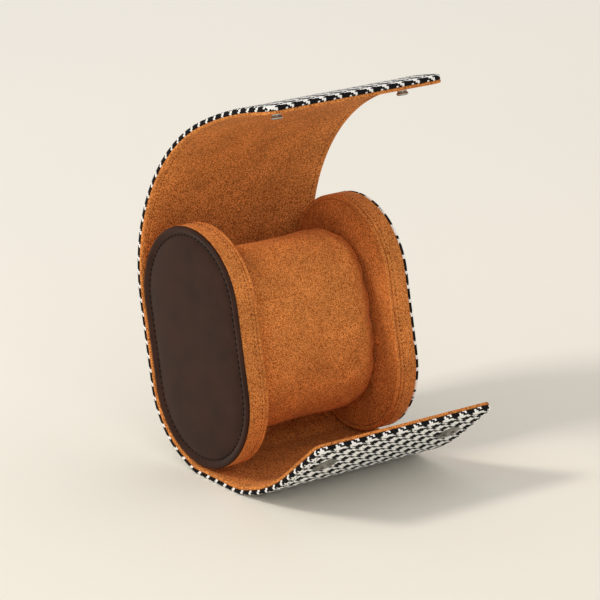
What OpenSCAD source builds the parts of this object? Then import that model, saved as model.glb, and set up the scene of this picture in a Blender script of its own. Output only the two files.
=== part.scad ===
// Watch roll, standing open: two end caps, one wrap that forms the back and both flaps, a
// cushion between the caps and two press snaps. Millimetres. X runs along the roll with the
// leather cap at -X, -Y is the open front and Z is up. The origin is the middle of the flat
// base panel under the lower flap, on the surface that the roll stands on.
//
// Side view: u points out of the open front and v along the tall axis of the caps. A path
// starts at the middle of the back and follows the middle of the wrap's thickness as a list
// of [radius, length] pieces, where radius 0 is straight. The upper path is drawn upside
// down, so that both paths run down the back and turn forwards.

/* [Roll] */
// Length of the roll along its axis, over the outer faces of both caps
roll_len = 76.6; // [70:0.2:110]
// How far the roll leans back as it stands open, in degrees
lean = 12.2; // [9:0.1:15]
// Height of a cap across its tall axis
cap_h = 87; // [80:0.5:110]
// Depth of a cap from back to front
cap_w = 56.8; // [54:0.2:64]
// Thickness of a whole cap
cap_t = 10; // [8:0.5:13]

/* [Wrap] */
// Thickness of the woven outer cover
cover_t = 1.1; // [0.9:0.05:1.4]
// Thickness of the stiffening board
board_t = 0.7; // [0.6:0.05:0.9]
// Thickness of the suede lining
lining_t = 1.2; // [1:0.05:1.5]
// Glue line between layers, and between the wrap and the caps
glue = 0.04; // [0.02:0.01:0.08]
// Gap between two stiff lengths of wrap at a fold
fold_gap = 0.2; // [0.1:0.05:0.4]

/* [Top flap] */
// Radius of the wrap's bend where it leaves the back
top_r1 = 60.5; // [50:0.5:80]
// Length of that bend
top_len1 = 29.3; // [25:0.1:35]
// Radius over the top of the roll
top_r2 = 71.5; // [60:0.5:90]
// Length of the bend over the top
top_len2 = 58.8; // [50:0.1:70]
// Radius of the nearly straight end that reaches forwards
top_r3 = 142.5; // [110:0.5:200]
// Length of that end
top_len3 = 42.4; // [36:0.1:50]
// Radius of the two free corners
top_corner = 5; // [2:0.5:10]

/* [Lower flap] */
// How far the wrap hugs the caps below the back, in degrees
hug_turn = 56; // [50:0.5:60]
// Straight run from there to the fold behind the base panel
hug_run = 7; // [6:0.1:9]
// Radius of the fold behind the base panel
base_r1 = 4.5; // [3:0.1:8]
// Length of the flat base panel that the roll stands on
base_len = 24; // [18:0.1:26]
// Radius of the fold in front of the base panel
base_r2 = 8.5; // [5:0.1:12]
// Angle of that fold, in degrees
base_turn2 = 10; // [6:0.5:14]
// Radius of the curve up to the free end
lower_r = 60.5; // [50:0.5:80]
// Slope of the free end over the base panel, in degrees
lower_slope = 41; // [38:0.1:50]
// Length of the straight free end
lower_tip = 23; // [17:0.1:26]
// Radius of the two free corners
lower_corner = 2.5; // [1:0.5:8]

/* [Caps] */
// Thickness of the outer face at the middle of its dome
face_t = 1.6; // [1.4:0.1:2]
// How far the outer face domes
face_dome = 0.4; // [0.2:0.05:0.6]
// Radius of the turned edge of the outer face
face_edge = 0.9; // [0.6:0.05:1]
// Thickness of the suede band round the rim
band_t = 1.2; // [0.9:0.05:1.5]
// Radius of the piping sewn round the inner edge
piping_r = 0.8; // [0.6:0.05:1]
// How far the piping stands proud of the inner lining
piping_proud = 0.3; // [0.1:0.05:0.5]

/* [Cushion] */
// Height of the cushion
cushion_h = 66; // [56:0.5:68]
// Depth of the cushion from back to front
cushion_w = 43; // [38:0.5:44]
// How far the cushion sits in front of the middle of the caps
cushion_shift = 1.5; // [0.5:0.1:2]
// Gap between the cushion and each cap's lining
cushion_gap = 0.3; // [0.2:0.05:0.5]
// How far the cushion's middle swells over its ends
cushion_crown = 1; // [0.5:0.1:2]
// Radius of the cushion's drawn-in ends
cushion_round = 7; // [5:0.5:8]
// Thickness of the cushion's suede
cushion_skin = 1.2; // [0.8:0.1:1.6]

/* [Snaps] */
// Distance of each snap from the middle of the roll
snap_x = 27; // [20:0.1:31]
// Distance of the studs from the free edge of the top flap
stud_edge = 11.4; // [8:0.1:14]
// Radius of the stud's flange
stud_flange_r = 3.2; // [2.8:0.05:3.6]
// Thickness of the stud's flange
stud_flange_t = 0.4; // [0.3:0.05:0.6]
// Radius of the stud's neck
stud_neck_r = 1.65; // [1.5:0.05:1.8]
// Radius of the stud's rounded lip
stud_lip_r = 2.1; // [1.9:0.05:2.2]
// Height of the stud over the lining
stud_h = 2.8; // [2.4:0.05:3.2]
// Radius of the rivet's shank
rivet_r = 0.95; // [0.8:0.05:1.1]
// Radius of the rivet's head
rivet_head_r = 4; // [3:0.1:5]
// Thickness of the rivet's head and of the ring behind the socket
rivet_head_t = 0.3; // [0.2:0.05:0.4]
// Radius of the socket's round plate
socket_r = 5.25; // [4.5:0.05:6]
// Height of the socket's plate over the cover
socket_rise = 0.8; // [0.6:0.05:1]
// Radius of the socket's cup, which sits in a hole through cover and board
cup_r = 3.1; // [2.8:0.05:3.4]
// Clearance of the stud's lip in the socket
snap_clear = 0.3; // [0.2:0.05:0.4]

/* [Quality] */
// Facets in a full circle
facets = 120; // [96:8:192]
// Most that one flat of the wrap's bends turns, in degrees
facet_turn = 3; // [2:0.5:4]
// Facets round the cushion
cushion_facets = 32; // [24:4:40]

/* [Hidden] */
$fn = facets;

weave = "#d8d6d0";
weave_dark = "#b9b6ae";
suede = "#b0602d";
suede_dark = "#96501f";
leather = "#3e302a";
board_grey = "#8d8578";
foam = "#e3d9c2";
nickel = "#b9bab8";
pewter = "#8a8984";

// Layers of the wrap, as distances outwards from its middle line
wrap_t = cover_t + board_t + lining_t;
outer = wrap_t / 2;
inner = -wrap_t / 2;
cover_layer = [outer - cover_t, outer];
board_layer = [inner + lining_t + glue, outer - cover_t - glue];
lining_layer = [inner, inner + lining_t];

// Middle line of the wrap, from the middle of the back
cap_r = cap_w / 2;
cap_straight = (cap_h - cap_w) / 2;
wrap_r = cap_r + glue + wrap_t / 2;
base_turn1 = 90 - hug_turn - lean;
path_start = [-wrap_r, 0, -90];
top_path = [
    [0, cap_straight],
    [top_r1, top_len1],
    [top_r2, top_len2],
    [top_r3, top_len3],
];
lower_path = [
    [0, cap_straight],
    [wrap_r, arc_len(wrap_r, hug_turn)],
    [0, hug_run],
    [base_r1, arc_len(base_r1, base_turn1)],
    [0, base_len],
    [base_r2, arc_len(base_r2, base_turn2)],
    [lower_r, arc_len(lower_r, lower_slope - base_turn2)],
    [0, lower_tip],
];
top_len = path_len(top_path);
lower_len = path_len(lower_path);

// Folds, as distances past the straight back, with the angle that each closes by
top_folds = [for (d = [12, 31, 50, 70, 92]) cap_straight + d];
top_bends = [20, 19, 20, 20, 13];
lower_folds = [for (d = [39.5, 52, 69, 87]) cap_straight + d];
lower_bends = [8, 24, 14, 15.2];
// Each side of a fold is cut back by a little more than half its angle
notch_spare = 0.6;

// Place of the base panel and of the whole roll over it
base_mid = cap_straight + arc_len(wrap_r, hug_turn) + hug_run + arc_len(base_r1, base_turn1) + base_len / 2;
base_point = off(at(lower_path, base_mid), outer);
roll_y = base_point[0] * cos(lean) - base_point[1] * sin(lean);
roll_z = -base_point[0] * sin(lean) - base_point[1] * cos(lean);

// Snaps: the sockets lie where the studs land once both flaps are closed
stud_s = top_len - stud_edge;
stud_shut = off(moved(closed(top_path, top_folds, top_bends, 5), at(top_path, stud_s)), inner);
tip_shut = moved(closed(lower_path, lower_folds, lower_bends, 4), at(lower_path, lower_len));
socket_s = lower_len - (tip_shut[1] + stud_shut[1]);
flap_gap = stud_shut[0] - off(tip_shut, outer)[0];
// The shut stud reaches this deep under the outer side of the cover, with clearance
cup_depth = stud_h - flap_gap + snap_clear;
// Clearance round rivets and cups in the layers that they pass through
pin_clear = 0.1;
// Flat heads and flanges keep this clear of the curved layers that they lie on
head_clear = 0.06;
rivet_top = board_layer[1] - head_clear;

// Cushion
cushion_half = roll_len / 2 - cap_t + piping_proud - cushion_gap;
cushion_seam = cushion_half - cushion_round / 2;
// Power of the softened oval, where 2 is an ellipse
cushion_square = 2.3;

// Steps across the dome of an outer face, and degrees per step of its turned edge
dome_steps = 6;
edge_step = 15;

echo(roll_y = roll_y, roll_z = roll_z, flap_gap = flap_gap, socket_edge = lower_len - socket_s);
echo(top_hinges = [for (s = top_folds) in_row(flip(at(top_path, s)))]);
echo(lower_hinges = [for (s = lower_folds) in_row(at(lower_path, s))]);
echo(stud = in_row(flip(at(top_path, stud_s))), socket = in_row(at(lower_path, socket_s)));

// Length of an arc of radius r that turns by a degrees
function arc_len(r, a) = r * a * PI / 180;

// Length of a path
function path_len(path, i = 0) = i == len(path) ? 0 : path[i][1] + path_len(path, i + 1);

// Length of the first n pieces of a path
function len_to(path, n, i = 0) = i >= n ? 0 : path[i][1] + len_to(path, n, i + 1);

// [u, v, heading] after a length d of one piece of a path, from state p
function advance(p, piece, d) = piece[0] == 0
    ? [p[0] + d * cos(p[2]), p[1] + d * sin(p[2]), p[2]]
    : let (turn = d / piece[0] * 180 / PI)
      [
          p[0] + piece[0] * (sin(p[2] + turn) - sin(p[2])),
          p[1] - piece[0] * (cos(p[2] + turn) - cos(p[2])),
          p[2] + turn,
      ];

// [u, v, heading] at a distance s along a path
function at(path, s, i = 0, p = path_start) =
    i == len(path) - 1 || s <= path[i][1]
        ? advance(p, path[i], s)
        : at(path, s - path[i][1], i + 1, advance(p, path[i], path[i][1]));

// The state moved outwards by d, away from the middle of the roll
function off(p, d) = [p[0] + d * sin(p[2]), p[1] - d * cos(p[2]), p[2]];

// The same state on the other side of the roll's middle
function flip(p) = [p[0], -p[1], -p[2]];

// A point of the side view in the row's frame, as [y, z]
function in_row(p) = [
    roll_y - p[0] * cos(lean) + p[1] * sin(lean),
    roll_z + p[0] * sin(lean) + p[1] * cos(lean),
];

function spin(a, p) = [p[0] * cos(a) - p[1] * sin(a), p[0] * sin(a) + p[1] * cos(a)];

// A state after a plane motion m = [angle, du, dv]
function moved(m, p) =
    let (q = spin(m[0], p))
    [q[0] + m[1], q[1] + m[2], p[2] + m[0]];

// Motion of what lies past the first n folds once they are closed
function closed(path, folds, bends, n, j = 0, m = [0, 0, 0]) = j == n ? m
    : let (
          pivot = moved(m, at(path, folds[j])),
          from_pivot = [m[1] - pivot[0], m[2] - pivot[1]],
          turned = spin(bends[j], from_pivot)
      )
      closed(path, folds, bends, n, j + 1, [m[0] + bends[j], turned[0] + pivot[0], turned[1] + pivot[1]]);

// From the side view to the row's frame
module standing() {
    translate([0, roll_y, roll_z])
        rotate([-lean, 0, 0])
            rotate([90, 0, -90])
                children();
}

// The side of the roll over its middle
module upper() {
    mirror([0, 1, 0])
        children();
}

// Puts children at a distance s along a path: x runs along it and y points inwards
module on_path(path, s) {
    p = at(path, s);
    translate([p[0], p[1], 0])
        rotate(p[2])
            children();
}

// Distances between s0 and s1 along a path at which its outline gets a corner
function stations(path, s0, s1) = [
    for (i = [0 : len(path) - 1])
        let (
            a = max(s0, len_to(path, i)),
            b = min(s1, len_to(path, i + 1)),
            turn = path[i][0] == 0 ? 0 : (b - a) / path[i][0] * 180 / PI,
            n = max(1, ceil(turn / facet_turn))
        )
        if (b > a)
            for (k = [0 : n - 1])
                a + (b - a) * k / n,
    s1,
];

function backwards(list) = [for (i = [len(list) - 1 : -1 : 0]) list[i]];

// The point of a state, without its heading
function plane(p) = [p[0], p[1]];

// The line of a path between two distances, moved outwards by d
function line(path, s0, s1, d) = [for (s = stations(path, s0, s1)) plane(off(at(path, s), d))];

// Room on the inner side of a fold, so that the lengths beside it can close
module notch(path, s, bend) {
    half = wrap_t * tan(bend / 2 + notch_spare);
    p = at(path, s);
    translate([p[0], p[1]])
        rotate(p[2])
            polygon([[0, 0], [half, wrap_t], [-half, wrap_t]]);
}

// Rounds the two corners of a free end
module corners(path, r) {
    on_path(path, path_len(path))
        for (side = [0, 1])
            translate([-r, wrap_t, (side - 0.5) * (roll_len - 2 * r)])
                rotate([90, 0, 0])
                    difference() {
                        translate([0, (side - 1) * (r + 1), 0])
                            cube([r + 1, r + 1, 2 * wrap_t]);
                        translate([0, 0, -1])
                            cylinder(r = r, h = 2 * wrap_t + 2);
                    }
}

// One layer of stiff length n of a flap, which ends at the next fold or at the free edge
module flap_layer(path, folds, bends, n, layer, corner) {
    last = n == len(folds);
    s0 = folds[n - 1] + fold_gap / 2;
    s1 = last ? path_len(path) : folds[n] - fold_gap / 2;
    difference() {
        linear_extrude(roll_len, center = true)
            difference() {
                polygon(concat(line(path, s0, s1, layer[1]), backwards(line(path, s0, s1, layer[0]))));
                notch(path, folds[n - 1], bends[n - 1]);
                if (!last)
                    notch(path, folds[n], bends[n]);
            }
        if (last)
            corners(path, corner);
    }
}

module top_layer(n, layer) {
    flap_layer(top_path, top_folds, top_bends, n, layer, top_corner);
}

module lower_layer(n, layer) {
    flap_layer(lower_path, lower_folds, lower_bends, n, layer, lower_corner);
}

// The fixed length of wrap in the side view, from the first fold of one flap to that of the other
function back_line(d) =
    let (rise = line(top_path, 0, top_folds[0] - fold_gap / 2, d))
    concat(
        [for (i = [len(rise) - 1 : -1 : 1]) [rise[i][0], -rise[i][1]]],
        line(lower_path, 0, lower_folds[0] - fold_gap / 2, d)
    );

module back_layer(layer) {
    standing()
        linear_extrude(roll_len, center = true)
            difference() {
                polygon(concat(back_line(layer[1]), backwards(back_line(layer[0]))));
                notch(lower_path, lower_folds[0], lower_bends[0]);
                mirror([0, 1])
                    notch(top_path, top_folds[0], top_bends[0]);
            }
}

// Both snap places on a path: z points outwards from the roll, with 0 on the middle line
module snap_places(path, s) {
    on_path(path, s)
        for (x = [-snap_x, snap_x])
            translate([0, 0, x])
                rotate([90, 0, 0])
                    children();
}

module back_cover() {
    color(weave)
        back_layer(cover_layer);
}

module back_board() {
    color(board_grey)
        back_layer(board_layer);
}

module back_lining() {
    color(suede)
        back_layer(lining_layer);
}

module top_cover(n) {
    color(n % 2 == 0 ? weave : weave_dark)
        standing()
            upper()
                top_layer(n, cover_layer);
}

// The last board is pocketed for the heads of the rivets
module top_board(n) {
    color(board_grey)
        standing()
            upper()
                difference() {
                    top_layer(n, board_layer);
                    if (n == len(top_folds))
                        snap_places(top_path, stud_s)
                            translate([0, 0, rivet_top - rivet_head_t])
                                cylinder(r = rivet_head_r + pin_clear, h = wrap_t);
                    if (n == len(top_folds))
                        snap_places(top_path, stud_s)
                            translate([0, 0, inner])
                                cylinder(r = rivet_r + pin_clear, h = wrap_t);
                }
}

module top_lining(n) {
    color(n % 2 == 0 ? suede : suede_dark)
        standing()
            upper()
                difference() {
                    top_layer(n, lining_layer);
                    if (n == len(top_folds))
                        snap_places(top_path, stud_s)
                            translate([0, 0, inner - 1])
                                cylinder(r = rivet_r + pin_clear, h = wrap_t);
                }
}

module lower_cover(n) {
    color(n % 2 == 0 ? weave : weave_dark)
        standing()
            difference() {
                lower_layer(n, cover_layer);
                if (n == len(lower_folds))
                    snap_places(lower_path, socket_s)
                        cylinder(r = cup_r + pin_clear, h = wrap_t);
            }
}

module lower_board(n) {
    color(board_grey)
        standing()
            difference() {
                lower_layer(n, board_layer);
                if (n == len(lower_folds))
                    snap_places(lower_path, socket_s)
                        translate([0, 0, inner])
                            cylinder(r = cup_r + pin_clear, h = 2 * wrap_t);
            }
}

// The last lining is pocketed for the ring behind each socket
module lower_lining(n) {
    color(n % 2 == 0 ? suede : suede_dark)
        standing()
            difference() {
                lower_layer(n, lining_layer);
                if (n == len(lower_folds))
                    snap_places(lower_path, socket_s)
                        translate([0, 0, lining_layer[1] - rivet_head_t])
                            cylinder(r = rivet_head_r + pin_clear, h = wrap_t);
            }
}

// A solid with the cap's outline, inset by a profile drawn as [distance from the edge, z]
module cap_solid(profile) {
    half = [for (p = profile) [cap_r - p[0], p[1]]];
    both = concat(half, [for (i = [len(half) - 1 : -1 : 0]) [-half[i][0], half[i][1]]]);
    for (end = [0, 180])
        rotate(end)
            translate([0, cap_straight, 0])
                rotate_extrude(angle = 180)
                    polygon(concat(half, [[0, half[len(half) - 1][1]], [0, half[0][1]]]));
    translate([0, cap_straight, 0])
        rotate([90, 0, 0])
            linear_extrude(2 * cap_straight)
                polygon(both);
}

// A ring round the cap, with a section drawn as [distance from the edge, z]
module cap_ring(section) {
    for (end = [0, 180])
        rotate(end) {
            translate([0, cap_straight, 0])
                rotate_extrude(angle = 180)
                    translate([cap_r, 0])
                        mirror([1, 0])
                            section_of(section);
            translate([0, cap_straight, 0])
                rotate([90, 0, 0])
                    linear_extrude(2 * cap_straight)
                        translate([cap_r, 0])
                            mirror([1, 0])
                                section_of(section);
        }
}

module section_of(section) {
    if (section == "piping")
        translate([piping_r, cap_t - piping_r])
            circle(piping_r);
    else
        translate([0, face_t + glue])
            square([band_t, cap_t - face_t - 2 * piping_r - 2 * glue]);
}

// Caps are drawn with their outer face at z = 0 and their inner side at z = cap_t
module left_cap() {
    standing()
        translate([0, 0, roll_len / 2])
            mirror([0, 0, 1])
                children();
}

module right_cap() {
    standing()
        translate([0, 0, -roll_len / 2])
            children();
}

// The domed outer face, with a turned edge
module cap_face() {
    dome_w = cap_r - face_edge;
    cap_solid([
        [0, face_t],
        for (a = [0 : edge_step : 90])
            [face_edge * (1 - cos(a)), face_dome + face_edge * (1 - sin(a))],
        for (i = [1 : dome_steps])
            let (t = i / dome_steps)
                [face_edge + dome_w * t, face_dome * (1 - pow(t, 2) * (3 - 2 * t))],
    ]);
}

module cap_core() {
    cap_solid([
        [band_t + glue, cap_t - 2 * piping_r - glue],
        [band_t + glue, face_t + glue],
        [cap_r, face_t + glue],
    ]);
}

// The lining of the inner side, inside the piping
module cap_lining() {
    cap_solid([
        [2 * piping_r, cap_t - piping_proud],
        [2 * piping_r, cap_t - 2 * piping_r],
        [cap_r, cap_t - 2 * piping_r],
    ]);
}

module left_cap_leather() {
    color(leather)
        left_cap()
            cap_face();
}

module left_cap_core() {
    color(board_grey)
        left_cap()
            cap_core();
}

module left_cap_band() {
    color(suede)
        left_cap()
            cap_ring("band");
}

module left_cap_lining() {
    color(suede_dark)
        left_cap()
            cap_lining();
}

module left_cap_piping() {
    color(suede)
        left_cap()
            cap_ring("piping");
}

module right_cap_cover() {
    color(weave)
        right_cap()
            cap_face();
}

module right_cap_core() {
    color(board_grey)
        right_cap()
            cap_core();
}

module right_cap_band() {
    color(suede)
        right_cap()
            cap_ring("band");
}

module right_cap_lining() {
    color(suede_dark)
        right_cap()
            cap_lining();
}

module right_cap_piping() {
    color(suede)
        right_cap()
            cap_ring("piping");
}

// How far the cushion's outline draws in at a distance z from its middle
function drawn_in(z) =
    let (past = max(0, abs(z) - (cushion_half - cushion_round)))
    cushion_crown * pow(z / cushion_half, 2) + cushion_round - sqrt(pow(cushion_round, 2) - pow(past, 2));

// A point of the cushion's outline: a softened oval
function oval(a, w, h) = [
    w * sign(cos(a)) * pow(abs(cos(a)), 2 / cushion_square),
    h * sign(sin(a)) * pow(abs(sin(a)), 2 / cushion_square),
];

// The stuffed form, smaller all round by inset
module pillow(inset) {
    half = cushion_half - inset;
    levels = [
        for (i = [0 : 3]) -cushion_half + (cushion_half - cushion_seam) * (1 - cos(30 * i)),
        for (i = [1 : 5]) cushion_seam * (i / 3 - 1),
        for (i = [3 : -1 : 0]) cushion_half - (cushion_half - cushion_seam) * (1 - cos(30 * i)),
    ];
    n = cushion_facets;
    m = len(levels);
    points = [
        for (z = levels)
            for (k = [0 : n - 1])
                let (
                    less = drawn_in(z) + inset,
                    p = oval(360 * k / n, cushion_w / 2 - less, cushion_h / 2 - less)
                )
                [p[0], p[1], z * half / cushion_half],
    ];
    sides = [
        for (j = [0 : m - 2])
            for (k = [0 : n - 1])
                let (a = j * n + k, b = j * n + (k + 1) % n)
                each [[a, b + n, b], [a, a + n, b + n]],
    ];
    ends = [
        [for (k = [0 : n - 1]) k],
        [for (k = [n - 1 : -1 : 0]) (m - 1) * n + k],
    ];
    translate([cushion_shift, 0, 0])
        polyhedron(points, concat(sides, ends));
}

// A slab across the cushion between two distances from its middle
module slab(z0, z1) {
    translate([-cushion_w, -cushion_h, z0])
        cube([2 * cushion_w, 2 * cushion_h, z1 - z0]);
}

module cushion_shell(z0, z1) {
    standing()
        intersection() {
            difference() {
                pillow(0);
                pillow(cushion_skin);
            }
            slab(z0, z1);
        }
}

module cushion_cover() {
    color(suede)
        cushion_shell(-cushion_seam, cushion_seam);
}

module cushion_left_end() {
    color(suede_dark)
        cushion_shell(cushion_seam + glue, cushion_half + 1);
}

module cushion_right_end() {
    color(suede_dark)
        cushion_shell(-cushion_half - 1, -cushion_seam - glue);
}

module cushion_core() {
    color(foam)
        standing()
            pillow(cushion_skin + glue);
}

// A turned stud: flange, neck and rounded lip, with a blind hole for the rivet
module stud() {
    lip = stud_lip_r - stud_neck_r;
    rotate_extrude()
        polygon([
            [0, stud_flange_t + pin_clear],
            [rivet_r + pin_clear, stud_flange_t + pin_clear],
            [rivet_r + pin_clear, 0],
            [stud_flange_r, 0],
            [stud_flange_r, stud_flange_t],
            [stud_neck_r, stud_flange_t],
            [stud_neck_r, stud_h - 3 * lip],
            [stud_lip_r, stud_h - 2 * lip],
            [stud_lip_r, stud_h - lip],
            [stud_lip_r - lip / 3, stud_h - lip / 3],
            [stud_lip_r - lip, stud_h],
            [0, stud_h],
        ]);
}

module snap_studs() {
    color(nickel)
        standing()
            upper()
                snap_places(top_path, stud_s)
                    translate([0, 0, inner - head_clear])
                        mirror([0, 0, 1])
                            stud();
}

// A flat head under the cover, with a shank through board and lining into the stud
module stud_rivets() {
    color(pewter)
        standing()
            upper()
                snap_places(top_path, stud_s) {
                    translate([0, 0, rivet_top - rivet_head_t])
                        cylinder(r = rivet_head_r, h = rivet_head_t);
                    translate([0, 0, inner - stud_flange_t])
                        cylinder(r = rivet_r, h = stud_flange_t + rivet_top - inner);
                }
}

// A round plate on the cover with a cup that takes the stud
module snap_sockets() {
    color(pewter)
        standing()
            snap_places(lower_path, socket_s)
                rotate_extrude()
                    polygon([
                        [0, inner + lining_t],
                        [cup_r, inner + lining_t],
                        [cup_r, outer],
                        [socket_r, outer],
                        [socket_r, outer + socket_rise / 2],
                        [socket_r - socket_rise / 2, outer + socket_rise],
                        [stud_lip_r + snap_clear, outer + socket_rise],
                        [stud_lip_r + snap_clear, outer - cup_depth],
                        [0, outer - cup_depth],
                    ]);
}

// The flat ring that clinches each cup behind the board
module socket_rings() {
    color(nickel)
        standing()
            snap_places(lower_path, socket_s)
                translate([0, 0, lining_layer[1] - rivet_head_t])
                    cylinder(r = rivet_head_r, h = rivet_head_t);
}

back_cover();
back_board();
back_lining();
left_cap_leather();
left_cap_core();
left_cap_band();
left_cap_lining();
left_cap_piping();
right_cap_cover();
right_cap_core();
right_cap_band();
right_cap_lining();
right_cap_piping();
top_cover(1);  // top_cover_1
top_cover(2);  // top_cover_2
top_cover(3);  // top_cover_3
top_cover(4);  // top_cover_4
top_cover(5);  // top_cover_5
top_board(1);  // top_board_1
top_board(2);  // top_board_2
top_board(3);  // top_board_3
top_board(4);  // top_board_4
top_board(5);  // top_board_5
top_lining(1);  // top_lining_1
top_lining(2);  // top_lining_2
top_lining(3);  // top_lining_3
top_lining(4);  // top_lining_4
top_lining(5);  // top_lining_5
lower_cover(1);  // lower_cover_1
lower_cover(2);  // lower_cover_2
lower_cover(3);  // lower_cover_3
lower_cover(4);  // lower_cover_4
lower_board(1);  // lower_board_1
lower_board(2);  // lower_board_2
lower_board(3);  // lower_board_3
lower_board(4);  // lower_board_4
lower_lining(1);  // lower_lining_1
lower_lining(2);  // lower_lining_2
lower_lining(3);  // lower_lining_3
lower_lining(4);  // lower_lining_4
cushion_cover();
cushion_left_end();
cushion_right_end();
cushion_core();
snap_studs();
stud_rivets();
snap_sockets();
socket_rings();
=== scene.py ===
# %% [markdown]
# # A watch roll, standing open
#
# A watch roll is a small travel case: two stiff end caps, one long wrap that makes the back
# and both flaps, and a padded cushion between the caps. Here the wrap is a woven houndstooth
# cloth outside and suede inside, the left cap is faced with smooth leather and the right one
# with the same cloth.
#
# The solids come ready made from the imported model. This lesson dresses them: every soft
# layer gets its own mesh, seam and finish, in the same place as the solid that it covers.

# %% Load the frame
import math
from itertools import groupby

import bmesh
import bpy
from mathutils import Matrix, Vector, noise


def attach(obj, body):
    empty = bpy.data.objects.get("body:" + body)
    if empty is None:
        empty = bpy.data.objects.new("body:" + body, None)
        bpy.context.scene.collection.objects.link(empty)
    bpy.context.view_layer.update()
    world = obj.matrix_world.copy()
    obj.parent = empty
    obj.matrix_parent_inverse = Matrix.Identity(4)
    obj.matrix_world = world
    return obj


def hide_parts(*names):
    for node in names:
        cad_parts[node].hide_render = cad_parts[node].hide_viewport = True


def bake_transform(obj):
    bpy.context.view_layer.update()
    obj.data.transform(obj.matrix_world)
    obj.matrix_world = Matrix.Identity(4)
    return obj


MM = 1000  # millimetres in a metre

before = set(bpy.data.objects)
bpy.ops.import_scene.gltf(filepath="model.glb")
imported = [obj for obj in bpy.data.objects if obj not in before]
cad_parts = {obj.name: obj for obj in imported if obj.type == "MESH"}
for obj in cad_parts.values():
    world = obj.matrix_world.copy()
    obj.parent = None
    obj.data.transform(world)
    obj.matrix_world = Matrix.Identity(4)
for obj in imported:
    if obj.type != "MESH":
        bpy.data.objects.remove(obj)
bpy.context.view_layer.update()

# %% [markdown]
# ## The side view of the wrap
#
# Seen from its end, the wrap is one thick line. It runs down the straight back of the caps,
# and from there each flap follows arcs of known radius, so a point on it is found by walking
# a distance along those arcs. One function that turns "this far along, this far across, this
# high over the middle of the thickness" into a place in space lets every layer, seam and
# stitch be drawn flat first, as it was cut, and then bent. That is why the layers are made
# flat here, and not modelled in their bent shape.

# %% Sizes of the roll, in millimetres
ROLL_LENGTH, CAP_HEIGHT, CAP_DEPTH = 76.6, 87.0, 56.8
HALF = ROLL_LENGTH / 2
CAP_R = CAP_DEPTH / 2
CAP_STRAIGHT = (CAP_HEIGHT - CAP_DEPTH) / 2
# Where the middle of the caps stands, and how far the roll leans back
ROLL_Y, ROLL_Z, LEAN = 12.2428, 46.9792, math.radians(12.2)
# Each layer of the wrap, from its inner to its outer side, over the middle of the thickness
COVER, BOARD, LINING = (0.4, 1.5), (-0.26, 0.36), (-1.5, -0.3)
GLUE = 0.04
WRAP_R = CAP_R + GLUE + COVER[1]
# The wrap hugs the caps over a part turn, in degrees, and then turns back to the floor
HUG_TURN = 56
TURN_BACK = math.radians(90 - HUG_TURN) - LEAN
BASE_R1, BASE_R2, LOWER_R = 4.5, 8.5, 60.5
# The pieces of each flap, as (radius, length); a straight piece has radius 0
TOP_PATH = [(0, CAP_STRAIGHT), (60.5, 29.3), (71.5, 58.8), (142.5, 42.4)]
LOWER_PATH = [
    (0, CAP_STRAIGHT),  # down the back
    (WRAP_R, WRAP_R * math.radians(HUG_TURN)),  # round the caps
    (0, 7),  # away from them
    (BASE_R1, BASE_R1 * TURN_BACK),  # to the floor
    (0, 24),  # along it
    (BASE_R2, BASE_R2 * math.radians(10)),  # off it again
    (LOWER_R, LOWER_R * math.radians(31)),  # along the curved flap
    (0, 23),  # to its free edge
]
TOP_LENGTH, LOWER_LENGTH = (sum(length for _, length in p) for p in (TOP_PATH, LOWER_PATH))
print(f"past the middle of the back: top flap {TOP_LENGTH:.1f}, lower flap {LOWER_LENGTH:.1f} mm")

# %% From flat to bent
def walk(path, distance):
    """(u, v, heading) after a distance along a path, from the middle of the back."""
    u, v, heading = -WRAP_R, 0.0, math.radians(-90)
    for i, (radius, length) in enumerate(path):
        d = distance if i == len(path) - 1 else min(distance, length)
        if radius == 0:
            u, v = u + d * math.cos(heading), v + d * math.sin(heading)
        else:
            turned = heading + d / radius
            u += radius * (math.sin(turned) - math.sin(heading))
            v -= radius * (math.cos(turned) - math.cos(heading))
            heading = turned
        distance -= d
        if distance <= 0:
            break
    return u, v, heading


def in_row(x, u, v):
    """Metres in the row's frame, from x along the roll and the side view's u and v."""
    y = ROLL_Y - u * math.cos(LEAN) + v * math.sin(LEAN)
    z = ROLL_Z + u * math.sin(LEAN) + v * math.cos(LEAN)
    return Vector((x, y, z)) / MM


def on_wrap(x, t, n):
    """A flat point of the wrap, bent: t is minus along the top flap and plus along the lower."""
    u, v, heading = walk(TOP_PATH if t < 0 else LOWER_PATH, abs(t))
    u, v = u + n * math.sin(heading), v - n * math.cos(heading)
    return in_row(x, u, -v if t < 0 else v)


for name, t in (("top free edge", -TOP_LENGTH), ("lower free edge", LOWER_LENGTH)):
    print(name, [round(c * MM, 1) for c in on_wrap(0, t, 0)])

# %% [markdown]
# ## Camera
#
# The picture is taken from the front left, a little above, with a long lens, which keeps the
# two caps nearly the same size. The numbers were found by fitting the outline of the left
# cap and the wrap's edges to the photograph.

# %% Camera
def placed(name, data):
    """A new object in the scene, at the origin."""
    made = bpy.data.objects.new(name, data)
    bpy.context.scene.collection.objects.link(made)
    return made


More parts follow.
